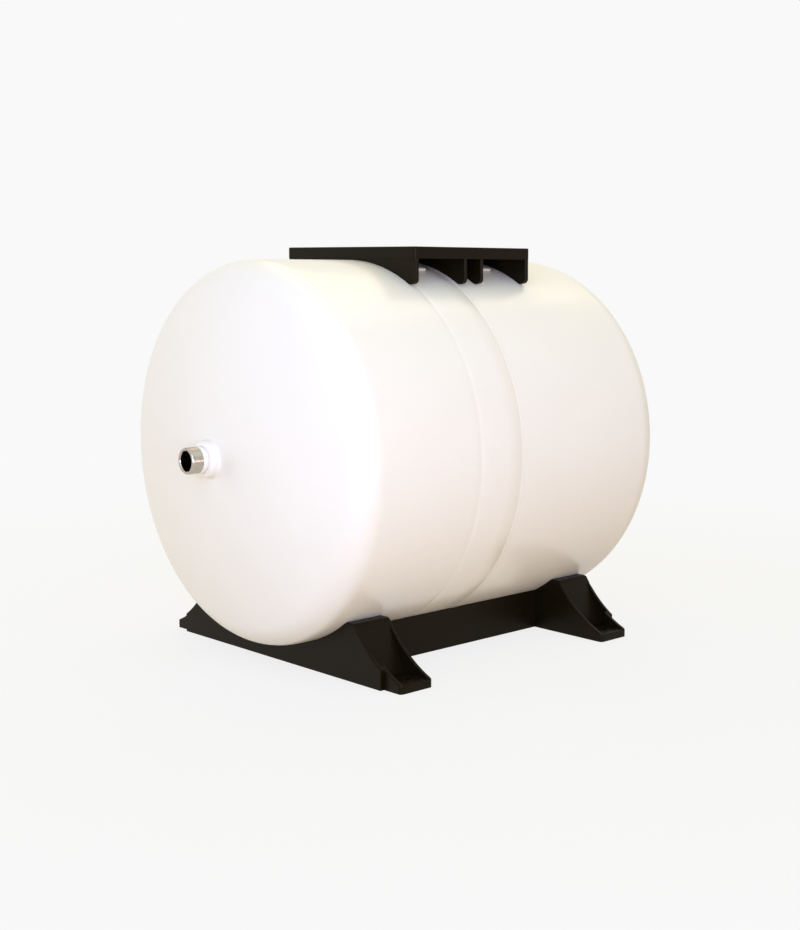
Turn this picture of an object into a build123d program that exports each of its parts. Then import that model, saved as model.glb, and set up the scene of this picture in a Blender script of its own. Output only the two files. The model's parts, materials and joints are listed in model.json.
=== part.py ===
from build123d import *
import os
from math import asin, cos, radians, sin, sqrt

# Horizontal diaphragm pressure tank on a moulded base, with a moulded stand for a pump on top.
# X runs along the tank from the water end (-X) to the air end (+X), Z is up, and the floor is z = 0.
# The origin is on the floor, midway between the four foot bolts. All sizes are in millimetres.

# Tank shell
tank_radius = 195.0
tank_tangent = 183.8
crown_radius = 525.0
knuckle_radius = 33.7
pole_flat = 24.0
shell_wall = 1.5
tank_floor_gap = 20.8

# Girth joint: the front half's edge is joggled in under the rear half and welded
seam_x = -0.3
joggle_length = 4.0
lap_length = 12.0
lap_gap = 0.1
weld_crown = 0.4
weld_relief = 2.0

# Rolled groove that holds the clench ring
groove_x = -60.7
groove_half = 3.0
groove_depth = 1.0

# Diaphragm, liner and clench ring, in layers on the inside of the front half
layer_gap = 0.05
liner_wall = 1.5
diaphragm_wall = 2.5
clench_wall = 2.5
clench_half = 8.0
water_gap = 16.0

# Water connection, a 3/4 inch male connector
connector_radius = 13.2
connector_neck = 13.0
connector_bore = 10.0
connector_out = 27.9
connector_chamfer = 1.0
flange_radius = 21.0
flange_thickness = 3.5
bore_gap = 0.05
collar_radius = 18.0
collar_length = 10.0
collar_round = 3.0
ring_section = 1.6
ring_center = 17.0

# Air valve
boss_radius = 11.0
boss_length = 8.0
stem_radius = 4.8
stem_inside = 4.0
hex_across = 12.0
hex_length = 5.0
neck_radius = 3.85
neck_length = 12.0
stem_bore = 2.6
stem_throat = 1.4
throat_length = 8.0
stem_ring_section = 1.6
core_radius = 2.5
core_bore = 1.2
core_length = 9.0
core_recess = 1.4
core_ring_section = 0.7
pin_radius = 0.75
pin_recess = 0.9
plug_radius = 2.0
plug_length = 1.2
plug_seal_length = 0.8
spring_wire = 0.5
spring_turns = 5
cap_radius = 6.5
cap_bore = 4.0
cap_length = 14.0
cap_depth = 12.6
cap_seal_length = 1.0
cap_start_gap = 0.4
cap_grooves = 16
cap_groove_radius = 0.5

# Moulded base
saddle_inner = 123.1
saddle_width = 45.6
toe_inset = 3.3
toe_thickness = 8.0
toe_step = 4.5
toe_step_length = 24.7
toe_corner = 4.0
seat_half = 115.7
horn_flat = 11.8
horn_round = 5.0
base_edge_round = 1.5
slope_sag = 6.2
pad_length = 38.7
channel_inset_y = 2.5
channel_inset_z = 1.5
flange_wall = 4.0
base_wall = 4.0
base_rib = 2.5
saddle_rib_y = 30.0
horn_rib_inset = 8.0
rail_outer = 90.4
rail_width = 26.0
rail_wall = 3.5
rail_rib_count = 5
seat_gap = 0.2

# Foot bolts and base studs
bolt_inset = 18.7
bolt_hole = 5.0
bolt_boss = 11.0
stud_radius = 4.0
stud_hole = 4.5
stud_floor_gap = 5.0
washer_radius = 10.0
washer_thickness = 1.6
nut_across = 13.0
nut_height = 6.5
nut_room = 13.5

# Pump stand
stand_x = 14.25
stand_length = 164.1
stand_width = 210.4
stand_rise = 13.5
plate_thickness = 4.0
rim_height = 12.0
rim_wall = 3.0
stand_corner = 3.0
top_round = 1.2
web_thickness = 4.2
end_web_thickness = 5.0
end_web_inset = 1.0
inner_web_pair = 27.4
leg_toe = 10.3
leg_round = 8.0
web_round = 1.8
stand_rib = 2.5
stand_rib_y = 18.0

# Slots for a pump's feet
slot_pitch_x = 94.5
slot_y = 75.0
slot_width = 9.0
slot_length = 40.0
slot_collar = 3.5
slot_collar_depth = 4.0

# Brackets, weld nuts and screws under the pump stand
bracket_width = 30.0
bracket_wall = 2.5
bracket_half = 52.0
bracket_foot_y = 58.0
bracket_foot = 7.0
bracket_bend = 3.0
screw_y = 40.0
screw_radius = 3.0
screw_hole = 3.3
screw_head = 6.0
screw_head_height = 3.0
screw_length = 14.5
screw_sink = 0.4
socket_across = 4.0
socket_depth = 2.0
screw_pad = 9.0
weld_nut_across = 10.0
weld_nut_height = 5.0
crown_clearance = 2.6

os.makedirs("parts", exist_ok=True)

# Values that follow from the driving dimensions
crown_x = tank_tangent - sqrt((crown_radius - knuckle_radius) ** 2 - (tank_radius - knuckle_radius) ** 2)
crown_angle = asin((tank_radius - knuckle_radius) / (crown_radius - knuckle_radius))
flat_x = crown_x + sqrt(crown_radius**2 - pole_flat**2)
groove_radius = (groove_half**2 + groove_depth**2) / (2 * groove_depth)
axis_height = tank_floor_gap + tank_radius
tank_top = axis_height + tank_radius
liner_inset = shell_wall + layer_gap
diaphragm_inset = liner_inset + liner_wall + layer_gap
clench_inset = diaphragm_inset + diaphragm_wall + layer_gap
saddle_outer = saddle_inner + saddle_width
saddle_x = saddle_inner + saddle_width / 2
stand_top = tank_top + stand_rise
axis_point = (0, 0, axis_height)
tank_axis = Axis(axis_point, (1, 0, 0))
# Half section through the tank's axis: local x is the tank's X and local y is the radius
section_plane = Plane(origin=axis_point, x_dir=(1, 0, 0), z_dir=(0, -1, 0))


def tank_surface(y, grow=0.0):
    """Height of the tank's underside at a distance y from its centre line."""
    return axis_height - sqrt((tank_radius + grow) ** 2 - y**2)


def tank_upper(y, grow=0.0):
    """Height of the tank's upper side at a distance y from its centre line."""
    return axis_height + sqrt((tank_radius + grow) ** 2 - y**2)


def end_line(side, inset, start_radius, shift=0.0):
    """Lines of one dished end, from the pole's flat to the knuckle's tangent, at an inset from the skin."""
    crown = crown_radius - inset
    knuckle = knuckle_radius - inset
    middle = crown_x - shift
    pole = flat_x - inset - shift
    flat_end = sqrt(crown**2 - (pole - middle) ** 2)
    flat_angle = asin(flat_end / crown)

    def crown_point(angle):
        return (side * (middle + crown * cos(angle)), crown * sin(angle))

    def knuckle_point(angle):
        along = tank_tangent - shift + knuckle * cos(angle)
        return (side * along, tank_radius - knuckle_radius + knuckle * sin(angle))

    start = (side * pole, start_radius)
    tangent = (side * (tank_tangent - shift), tank_radius - inset)
    Line(start, crown_point(flat_angle))
    ThreePointArc(crown_point(flat_angle), crown_point((flat_angle + crown_angle) / 2), crown_point(crown_angle))
    ThreePointArc(crown_point(crown_angle), knuckle_point((crown_angle + radians(90)) / 2), tangent)
    return start, tangent


def groove_line(inset, start_x, end_x):
    """Straight skin with the rolled groove in it, at an inset from the tank's outside."""
    bottom = tank_radius - groove_depth - inset
    half = sqrt((groove_radius + inset) ** 2 - (groove_radius - groove_depth + inset) ** 2)
    start = (start_x, tank_radius - inset)
    end = (end_x, tank_radius - inset)
    lip = (groove_x - half, tank_radius - inset)
    far_lip = (groove_x + half, tank_radius - inset)
    Line(start, lip)
    ThreePointArc(lip, (groove_x, bottom), far_lip)
    Line(far_lip, end)
    return start, end


def save(piece, name):
    """Label a finished piece and write it to its own file."""
    piece.part.label = name
    export_step(piece.part, "parts/" + name + ".step")


# Front half of the shell: dished end, cylinder with the rolled groove, joggled edge
slip_radius = tank_radius - shell_wall - lap_gap
with BuildPart() as front_shell:
    with BuildSketch(section_plane):
        with BuildLine():
            outer_start, outer_tangent = end_line(-1, 0, connector_radius + bore_gap)
            inner_start, inner_tangent = end_line(-1, shell_wall, connector_radius + bore_gap)
            Line(outer_start, inner_start)
            groove_line(0, -tank_tangent, seam_x - joggle_length)
            groove_line(shell_wall, -tank_tangent, seam_x - joggle_length)
            Polyline(
                (seam_x - joggle_length, tank_radius),
                (seam_x, slip_radius),
                (seam_x + lap_length, slip_radius),
                (seam_x + lap_length, slip_radius - shell_wall),
                (seam_x, slip_radius - shell_wall),
                (seam_x - joggle_length, tank_radius - shell_wall),
            )
        make_face()
    revolve(axis=tank_axis)
save(front_shell, "front_shell")

# Rear half of the shell, with a plain edge over the joggle
with BuildPart() as rear_shell:
    with BuildSketch(section_plane):
        with BuildLine():
            outer_start, outer_tangent = end_line(1, 0, stem_radius + bore_gap)
            inner_start, inner_tangent = end_line(1, shell_wall, stem_radius + bore_gap)
            Line(outer_start, inner_start)
            Polyline(
                outer_tangent,
                (seam_x, tank_radius),
                (seam_x, tank_radius - shell_wall),
                inner_tangent,
            )
        make_face()
    revolve(axis=tank_axis)
save(rear_shell, "rear_shell")

# Weld bead that fills the joggle
with BuildPart() as girth_weld:
    with BuildSketch(section_plane):
        with BuildLine():
            Line((seam_x - joggle_length, tank_radius), (seam_x, slip_radius))
            Line((seam_x, slip_radius), (seam_x, tank_radius))
            ThreePointArc(
                (seam_x, tank_radius),
                (seam_x - joggle_length / 2, tank_radius + weld_crown),
                (seam_x - joggle_length, tank_radius),
            )
        make_face()
    revolve(axis=tank_axis)
save(girth_weld, "girth_weld")

# Plastic liner against the front half, up to the clench ring's far edge
layer_end = groove_x + clench_half
with BuildPart() as liner:
    with BuildSketch(section_plane):
        with BuildLine():
            outer_start, outer_tangent = end_line(-1, liner_inset, connector_radius + bore_gap)
            inner_start, inner_tangent = end_line(-1, liner_inset + liner_wall, connector_radius + bore_gap)
            Line(outer_start, inner_start)
            outer_end = groove_line(liner_inset, -tank_tangent, layer_end)[1]
            inner_end = groove_line(liner_inset + liner_wall, -tank_tangent, layer_end)[1]
            Line(outer_end, inner_end)
        make_face()
    revolve(axis=tank_axis)
save(liner, "liner")

# Rubber diaphragm: a moulded cup, its rim held with the liner's
with BuildPart() as diaphragm:
    with BuildSketch(section_plane):
        with BuildLine():
            outer_start, outer_tangent = end_line(-1, diaphragm_inset, 0, water_gap)
            inner_start, inner_tangent = end_line(-1, diaphragm_inset + diaphragm_wall, 0, water_gap)
            Line(outer_start, inner_start)
            outer_end = groove_line(diaphragm_inset, outer_tangent[0], layer_end)[1]
            inner_end = groove_line(diaphragm_inset + diaphragm_wall, inner_tangent[0], layer_end)[1]
            Line(outer_end, inner_end)
        make_face()
    revolve(axis=tank_axis)
save(diaphragm, "diaphragm")

# Steel clench ring, pressed into the groove with the rims under it
with BuildPart() as clench_ring:
    with BuildSketch(section_plane):
        with BuildLine():
            outer_ends = groove_line(clench_inset, groove_x - clench_half, layer_end)
            inner_ends = groove_line(clench_inset + clench_wall, groove_x - clench_half, layer_end)
            Line(outer_ends[0], inner_ends[0])
            Line(outer_ends[1], inner_ends[1])
        make_face()
    revolve(axis=tank_axis)
save(clench_ring, "clench_ring")

# Painted collar, welded to the flat of the water end
with BuildPart() as connection_collar:
    with BuildSketch(section_plane):
        with BuildLine():
            Polyline(
                (-flat_x, connector_radius + bore_gap),
                (-flat_x, collar_radius),
                (-flat_x - collar_length + collar_round, collar_radius),
            )
            RadiusArc(
                (-flat_x - collar_length + collar_round, collar_radius),
                (-flat_x - collar_length, collar_radius - collar_round),
                -collar_round,
            )
            Polyline(
                (-flat_x - collar_length, collar_radius - collar_round),
                (-flat_x - collar_length, connector_radius + bore_gap),
                (-flat_x, connector_radius + bore_gap),
            )
        make_face()
    revolve(axis=tank_axis)
save(connection_collar, "connection_collar")

# Stainless connector: a sleeve, a slightly slimmer neck in the collar, a flange inside the tank with a
# groove for its ring seal
flange_face = -flat_x + shell_wall + layer_gap + liner_wall + layer_gap
connector_front = -flat_x - connector_out
with BuildPart() as water_connection:
    with BuildSketch(section_plane):
        with BuildLine():
            Polyline(
                (connector_front, connector_bore),
                (connector_front, connector_radius - connector_chamfer),
                (connector_front + connector_chamfer, connector_radius),
                (-flat_x - collar_length, connector_radius),
                (-flat_x - collar_length, connector_neck),
                (flange_face, connector_neck),
                (flange_face, ring_center - ring_section / 2),
                (flange_face + ring_section, ring_center - ring_section / 2),
                (flange_face + ring_section, ring_center + ring_section / 2),
                (flange_face, ring_center + ring_section / 2),
                (flange_face, flange_radius),
                (flange_face + flange_thickness, flange_radius),
                (flange_face + flange_thickness, connector_bore),
                close=True,
            )
        make_face()
    revolve(axis=tank_axis)
save(water_connection, "water_connection")

# Ring seal between the connector's flange and the liner
with BuildPart() as connection_o_ring:
    with BuildSketch(section_plane):
        with Locations((flange_face + ring_section / 2, ring_center)):
            Circle(ring_section / 2 - layer_gap)
    revolve(axis=tank_axis)
save(connection_o_ring, "connection_o_ring")

# Steel boss for the air valve, welded to the flat of the air end
boss_face = flat_x + boss_length
with BuildPart() as air_valve_boss:
    with BuildSketch(section_plane):
        with BuildLine():
            Polyline(
                (flat_x, stem_radius + bore_gap),
                (boss_face - stem_ring_section, stem_radius + bore_gap),
                (boss_face - stem_ring_section, stem_radius + stem_ring_section),
                (boss_face, stem_radius + stem_ring_section),
                (boss_face, boss_radius - connector_chamfer),
                (boss_face - connector_chamfer, boss_radius),
                (flat_x, boss_radius),
                close=True,
            )
        make_face()
    revolve(axis=tank_axis)
save(air_valve_boss, "air_valve_boss")

# Brass valve body: screwed through the boss, with a hexagon, and a neck for the cap
hex_start = boss_face + layer_gap
neck_start = hex_start + hex_length
stem_end = neck_start + neck_length
stem_start = flat_x - shell_wall - stem_inside
with BuildPart() as air_valve_stem:
    with BuildSketch(Plane(origin=(hex_start, 0, axis_height), x_dir=(0, 1, 0), z_dir=(1, 0, 0))):
        RegularPolygon(radius=hex_across / 2, side_count=6, major_radius=False)
    extrude(amount=hex_length)
    with BuildSketch(section_plane):
        with BuildLine():
            Polyline(
                (stem_start, 0),
                (stem_start, stem_radius),
                (neck_start, stem_radius),
                (neck_start, neck_radius),
                (stem_end - connector_chamfer / 2, neck_radius),
                (stem_end, neck_radius - connector_chamfer / 2),
                (stem_end, 0),
                close=True,
            )
        make_face()
    revolve(axis=tank_axis)
    with BuildSketch(section_plane):
        with BuildLine():
            Polyline(
                (stem_start, 0),
                (stem_start, stem_throat),
                (stem_start + throat_length, stem_throat),
                (stem_start + throat_length, stem_bore),
                (stem_end, stem_bore),
                (stem_end, 0),
                close=True,
            )
        make_face()
    revolve(axis=tank_axis, mode=Mode.SUBTRACT)
save(air_valve_stem, "air_valve_stem")

# Ring seal between the hexagon and the boss
with BuildPart() as stem_o_ring:
    with BuildSketch(section_plane):
        with Locations((boss_face - stem_ring_section / 2, stem_radius + stem_ring_section / 2 + bore_gap / 2)):
            Circle(stem_ring_section / 2 - layer_gap)
    revolve(axis=tank_axis)
save(stem_o_ring, "stem_o_ring")

# Valve core: a barrel screwed into the body, with a groove for its own ring seal
core_end = stem_end - core_recess
core_start = core_end - core_length
core_groove = core_start + core_length / 2
with BuildPart() as valve_core:
    with BuildSketch(section_plane):
        with BuildLine():
            Polyline(
                (core_start, core_bore),
                (core_start, core_radius),
                (core_groove - core_ring_section / 2, core_radius),
                (core_groove - core_ring_section / 2, stem_bore - core_ring_section),
                (core_groove + core_ring_section / 2, stem_bore - core_ring_section),
                (core_groove + core_ring_section / 2, core_radius),
                (core_end, core_radius),
                (core_end, core_bore),
                close=True,
            )
        make_face()
    revolve(axis=tank_axis)
save(valve_core, "valve_core")

# Ring seal round the core
with BuildPart() as core_seal:
    with BuildSketch(section_plane):
        with Locations((core_groove, stem_bore - core_ring_section / 2)):
            Circle(core_ring_section / 2 - bore_gap / 2)
    revolve(axis=tank_axis)
save(core_seal, "core_seal")

# Valve pin with its plug, which closes the core from inside
plug_end = core_start - plug_seal_length - layer_gap
plug_start = plug_end - plug_length
pin_tip = core_end - pin_recess + plug_seal_length
with BuildPart() as valve_pin:
    with BuildSketch(section_plane):
        with BuildLine():
            Polyline(
                (plug_start, 0),
                (plug_start, plug_radius),
                (plug_end, plug_radius),
                (plug_end, pin_radius),
                (pin_tip - pin_radius / 2, pin_radius),
                (pin_tip, pin_radius / 2),
                (pin_tip, 0),
                close=True,
            )
        make_face()
    revolve(axis=tank_axis)
save(valve_pin, "valve_pin")

# Rubber ring on the plug
with BuildPart() as pin_seal:
    with BuildSketch(section_plane):
        with Locations((plug_end, pin_radius + bore_gap)):
            Rectangle(
                plug_seal_length,
                plug_radius - pin_radius - bore_gap,
                align=(Align.MIN, Align.MIN),
            )
    revolve(axis=tank_axis)
save(pin_seal, "pin_seal")

# Coil spring that closes the valve, between the body's throat and the plug
spring_start = stem_start + throat_length + spring_wire / 2 + layer_gap
spring_height = plug_start - layer_gap - spring_wire / 2 - spring_start
spring_radius = plug_radius - spring_wire / 2
with BuildPart() as valve_spring:
    with BuildLine() as coil:
        Helix(
            pitch=spring_height / spring_turns,
            height=spring_height,
            radius=spring_radius,
            center=(spring_start, 0, axis_height),
            direction=(1, 0, 0),
        )
    with BuildSketch(Plane(origin=coil.line @ 0, z_dir=coil.line % 0)):
        Circle(spring_wire / 2)
    sweep(is_frenet=True)
save(valve_spring, "valve_spring")

# Brass valve cap with a gripping edge
cap_start = neck_start + cap_start_gap
cap_end = cap_start + cap_length
with BuildPart() as valve_cap:
    with BuildSketch(section_plane):
        with BuildLine():
            Polyline(
                (cap_start, cap_bore),
                (cap_start, cap_radius),
                (cap_end - connector_chamfer, cap_radius),
                (cap_end, cap_radius - connector_chamfer),
                (cap_end, 0),
                (cap_start + cap_depth, 0),
                (cap_start + cap_depth, cap_bore),
                close=True,
            )
        make_face()
    revolve(axis=tank_axis)
    with BuildSketch(Plane(origin=(cap_start, 0, axis_height), x_dir=(0, 1, 0), z_dir=(1, 0, 0))):
        with PolarLocations(cap_radius, cap_grooves):
            Circle(cap_groove_radius)
    extrude(amount=cap_length, mode=Mode.SUBTRACT)
save(valve_cap, "valve_cap")

# Rubber disc inside the cap
with BuildPart() as cap_seal:
    with BuildSketch(Plane(origin=(cap_start + cap_depth, 0, axis_height), x_dir=(0, 1, 0), z_dir=(1, 0, 0))):
        Circle(cap_bore - layer_gap)
    extrude(amount=-cap_seal_length)
save(cap_seal, "cap_seal")


# Base: the toes end just inside the tank's sides, and the horns rise to where the tank leaves its seat
toe_end = tank_radius - toe_inset
toe_step_y = toe_end - toe_step_length
pad_start = toe_end - pad_length
horn_y = seat_half + horn_flat
horn_height = tank_surface(seat_half, seat_gap)
bolt_x = saddle_inner + (saddle_width - toe_step) / 2
bolt_y = toe_end - bolt_inset
rib_lines = (
    saddle_rib_y,
    rail_outer - rail_width + rail_wall / 2,
    rail_outer - rail_wall / 2,
    horn_y - horn_rib_inset,
)


def saddle_lines(bottom):
    """Side view of a saddle from a given bottom up: foot, concave slopes and horns, with no seat yet."""
    slope = sqrt((toe_end - horn_y) ** 2 + (horn_height - toe_thickness) ** 2)
    middle_y = (toe_end + horn_y) / 2 - slope_sag * (horn_height - toe_thickness) / slope
    middle_z = (toe_thickness + horn_height) / 2 - slope_sag * (toe_end - horn_y) / slope
    Polyline((-toe_end, toe_thickness), (-toe_end, bottom), (toe_end, bottom), (toe_end, toe_thickness))
    for side in (-1, 1):
        ThreePointArc(
            (side * toe_end, toe_thickness),
            (side * middle_y, middle_z),
            (side * horn_y, horn_height),
        )
    Line((-horn_y, horn_height), (horn_y, horn_height))


def toe_channel(grow):
    """Recesses of one saddle's toes as a cutting body: flat pad, sloping back wall, open at the end and above."""
    near = saddle_inner + flange_wall - grow
    far = saddle_outer - flange_wall + grow
    top_y = horn_y + channel_inset_y
    with BuildPart() as channel:
        with BuildSketch(Plane.YZ.offset(near)):
            with BuildLine():
                Polyline(
                    (pad_start, toe_thickness),
                    (toe_end + 2 * base_wall, toe_thickness),
                    (toe_end + 2 * base_wall, horn_height + base_wall),
                    (top_y, horn_height + base_wall),
                    (top_y, horn_height - channel_inset_z),
                    close=True,
                )
            make_face()
            if grow:
                offset(amount=grow, kind=Kind.INTERSECTION)
        extrude(amount=far - near)
        with BuildSketch(Plane.XY):
            with Locations((far, toe_step_y - flange_wall + grow)):
                Rectangle(toe_step, toe_end, align=(Align.MAX, Align.MIN))
        extrude(amount=horn_height + 3 * base_wall, mode=Mode.SUBTRACT)
        mirror(about=Plane.XZ)
    return channel.part


# Room under one saddle: its outline one wall in; toe walls, bolt bosses and ribs stay standing
with BuildPart() as saddle_room:
    with BuildSketch(Plane.YZ.offset(saddle_inner + base_wall)) as room_side:
        with BuildLine():
            saddle_lines(-3 * base_wall)
        make_face()
        fillet(room_side.vertices().group_by(Axis.Y)[-1], horn_round)
        offset(amount=-base_wall)
    extrude(amount=saddle_width - 2 * base_wall)
    with BuildSketch(Plane.YZ.offset(saddle_inner)):
        with Locations((0, axis_height)):
            Circle(tank_radius + seat_gap + base_wall)
    extrude(amount=saddle_width, mode=Mode.SUBTRACT)
    add(toe_channel(flange_wall), mode=Mode.SUBTRACT)
    with BuildSketch(Plane.XY):
        with Locations(*[(saddle_inner, side * y) for side in (-1, 1) for y in rib_lines]):
            Rectangle(saddle_width, base_rib, align=(Align.MIN, Align.CENTER))
        with Locations((saddle_x, 0)):
            Rectangle(base_rib, 2 * toe_end)
            Circle(nut_room, mode=Mode.SUBTRACT)
        with Locations(*[(saddle_outer, side * toe_end) for side in (-1, 1)]):
            Rectangle(2 * (toe_step + base_wall), 2 * (toe_end - toe_step_y + base_wall))
        with Locations((bolt_x, bolt_y), (bolt_x, -bolt_y)):
            Circle(bolt_boss)
    extrude(amount=horn_height, mode=Mode.SUBTRACT)

# Room under the rails of one half, open below, with cross ribs left standing
rail_rib_pitch = 2 * saddle_inner / (rail_rib_count + 1)
with BuildPart() as rail_room:
    with BuildSketch(Plane.XY.offset(-base_wall)):
        with Locations(*[(0, side * (rail_outer - rail_width / 2)) for side in (-1, 1)]):
            Rectangle(saddle_inner, rail_width - 2 * rail_wall, align=(Align.MIN, Align.CENTER))
        with Locations(*[(number * rail_rib_pitch, 0) for number in range(rail_rib_count // 2 + 1)]):
            Rectangle(base_rib, 2 * rail_outer, mode=Mode.SUBTRACT)
    extrude(amount=horn_height)
    with BuildSketch(Plane.YZ):
        with Locations((0, axis_height)):
            Circle(tank_radius + seat_gap + rail_wall)
    extrude(amount=saddle_inner, mode=Mode.SUBTRACT)

# Moulded base in one piece: two saddles joined by two rails; one half is built and mirrored. The rails are
# relieved where the girth weld stands proud of the tank.
cradle_underside = tank_surface(0, seat_gap + base_wall)
with BuildPart() as base_moulding:
    with BuildSketch(Plane.XY) as saddle_plan:
        with Locations((saddle_inner, 0)):
            Rectangle(saddle_width, 2 * toe_end, align=(Align.MIN, Align.CENTER))
        with Locations(*[(saddle_outer, side * toe_end) for side in (-1, 1)]):
            Rectangle(2 * toe_step, 2 * (toe_end - toe_step_y), mode=Mode.SUBTRACT)
        fillet(saddle_plan.vertices().group_by(Axis.Y)[0], toe_corner)
        fillet(saddle_plan.vertices().group_by(Axis.Y)[-1], toe_corner)
    extrude(amount=horn_height)
    with BuildSketch(Plane.YZ.offset(saddle_inner)) as saddle_side:
        with BuildLine():
            saddle_lines(0)
        make_face()
        fillet(saddle_side.vertices().group_by(Axis.Y)[-1], horn_round)
    extrude(amount=saddle_width, mode=Mode.INTERSECT)
    upper = base_moulding.edges().filter_by(Axis.Z, reverse=True).filter_by_position(Axis.Z, 1, horn_height)
    folds = base_moulding.edges().filter_by(Axis.X).filter_by_position(Axis.Z, horn_height - horn_round, horn_height)
    fillet(upper - folds, base_edge_round)
    with BuildSketch(Plane.XY):
        with Locations(*[(0, side * (rail_outer - rail_width / 2)) for side in (-1, 1)]):
            Rectangle(saddle_inner + base_wall, rail_width, align=(Align.MIN, Align.CENTER))
    extrude(amount=horn_height)
    with BuildSketch(Plane.YZ):
        with Locations((0, axis_height)):
            Circle(tank_radius + seat_gap)
    extrude(amount=saddle_outer, mode=Mode.SUBTRACT)
    with BuildSketch(Plane.YZ):
        with Locations((0, axis_height)):
            Circle(tank_radius + weld_crown + seat_gap)
    extrude(amount=joggle_length - seam_x + weld_relief, mode=Mode.SUBTRACT)
    add(toe_channel(0), mode=Mode.SUBTRACT)
    add(saddle_room.part, mode=Mode.SUBTRACT)
    add(rail_room.part, mode=Mode.SUBTRACT)
    with BuildSketch(Plane.XY):
        with Locations((bolt_x, bolt_y), (bolt_x, -bolt_y)):
            Circle(bolt_hole)
        with Locations((saddle_x, 0)):
            Circle(stud_hole)
    extrude(amount=tank_floor_gap, mode=Mode.SUBTRACT)
    with BuildSketch(Plane.XY):
        with Locations((saddle_x, 0)):
            Circle(nut_room)
    extrude(amount=cradle_underside, mode=Mode.SUBTRACT)
    mirror(about=Plane.YZ)
save(base_moulding, "base_moulding")

# Two M8 studs, welded under the tank, that hold it down on the base
with BuildPart() as base_studs:
    with BuildSketch(Plane.XY.offset(stud_floor_gap)):
        with Locations((saddle_x, 0), (-saddle_x, 0)):
            Circle(stud_radius)
    extrude(amount=axis_height - stud_floor_gap)
    with BuildSketch(Plane.YZ):
        with Locations((0, axis_height)):
            Circle(tank_radius)
    extrude(amount=saddle_outer, both=True, mode=Mode.SUBTRACT)
save(base_studs, "base_studs")

# Washers under the cradle skin
with BuildPart() as base_washers:
    with BuildSketch(Plane.XY.offset(cradle_underside - washer_thickness)):
        with Locations((saddle_x, 0), (-saddle_x, 0)):
            Circle(washer_radius)
            Circle(stud_hole, mode=Mode.SUBTRACT)
    extrude(amount=washer_thickness)
save(base_washers, "base_washers")

# Nuts on the studs
with BuildPart() as base_nuts:
    with BuildSketch(Plane.XY.offset(cradle_underside - washer_thickness - nut_height)):
        with Locations((saddle_x, 0), (-saddle_x, 0)):
            RegularPolygon(nut_across / 2, 6, major_radius=False)
            Circle(stud_radius + bore_gap, mode=Mode.SUBTRACT)
    extrude(amount=nut_height)
save(base_nuts, "base_nuts")

# Webs of the pump stand: two at the ends and a pair in the middle, resting on the tank
stand_front = stand_x - stand_length / 2
stand_rear = stand_x + stand_length / 2
end_web_x = (
    stand_front + end_web_inset + end_web_thickness / 2,
    stand_rear - end_web_inset - end_web_thickness / 2,
)
inner_web_x = (
    stand_x - inner_web_pair / 2 + web_thickness / 2,
    stand_x + inner_web_pair / 2 - web_thickness / 2,
)
plate_underside = stand_top - plate_thickness
leg_bottom = tank_upper(stand_width / 2 - leg_toe, seat_gap)
with BuildPart() as stand_webs:
    with BuildSketch(Plane.XY.offset(leg_bottom)):
        with Locations(*[(x, 0) for x in end_web_x]):
            RectangleRounded(end_web_thickness, stand_width, web_round)
        with Locations(*[(x, 0) for x in inner_web_x]):
            RectangleRounded(web_thickness, stand_width, web_round)
    extrude(amount=plate_underside - leg_bottom)
    with BuildSketch(Plane.YZ.offset(stand_front)) as web_side:
        with Locations((0, leg_bottom)):
            Rectangle(stand_width, stand_top - leg_bottom, align=(Align.CENTER, Align.MIN))
        fillet(web_side.vertices().group_by(Axis.Y)[0], leg_round)
    extrude(amount=stand_length, mode=Mode.INTERSECT)

# Pump stand: plate with a rim all round, webs, ribs, slots for the pump's feet and countersunk screw holes
bracket_top = tank_top + crown_clearance + bracket_wall
screw_x = (stand_x - slot_pitch_x / 2, stand_x + slot_pitch_x / 2)
slot_spots = [(x, side * slot_y) for x in screw_x for side in (-1, 1)]
screw_spots = [(x, side * screw_y) for x in screw_x for side in (-1, 1)]
with BuildPart() as pump_stand:
    with BuildSketch(Plane.XY.offset(stand_top - rim_height)):
        with Locations((stand_x, 0)):
            RectangleRounded(stand_length, stand_width, stand_corner)
    extrude(amount=rim_height)
    fillet(pump_stand.faces().sort_by(Axis.Z)[-1].edges(), top_round)
    with BuildSketch(Plane.XY.offset(stand_top - rim_height)):
        with Locations((stand_x, 0)):
            Rectangle(stand_length - 2 * rim_wall, stand_width - 2 * rim_wall)
    extrude(amount=rim_height - plate_thickness, mode=Mode.SUBTRACT)
    add(stand_webs.part)
    with BuildSketch(Plane.XY.offset(bracket_top)):
        with Locations((stand_x, stand_rib_y), (stand_x, -stand_rib_y)):
            Rectangle(stand_length - 2 * rim_wall, stand_rib)
        with Locations(*screw_spots):
            Circle(screw_pad)
    extrude(amount=plate_underside - bracket_top)
    with BuildSketch(Plane.XY.offset(plate_underside - slot_collar_depth)):
        with Locations(*slot_spots):
            SlotOverall(slot_length + 2 * slot_collar, slot_width + 2 * slot_collar)
    extrude(amount=slot_collar_depth)
    with BuildSketch(Plane.XY.offset(plate_underside - slot_collar_depth)):
        with Locations(*slot_spots):
            SlotOverall(slot_length, slot_width)
    extrude(amount=slot_collar_depth + plate_thickness, mode=Mode.SUBTRACT)
    with Locations(*[(x, y, stand_top) for x, y in screw_spots]):
        CounterSinkHole(screw_hole, screw_head + screw_sink, depth=stand_top - bracket_top, counter_sink_angle=90)
    with BuildSketch(Plane.YZ.offset(stand_front)):
        with Locations((0, axis_height)):
            Circle(tank_radius + seat_gap)
    extrude(amount=stand_length, mode=Mode.SUBTRACT)
save(pump_stand, "pump_stand")


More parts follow.
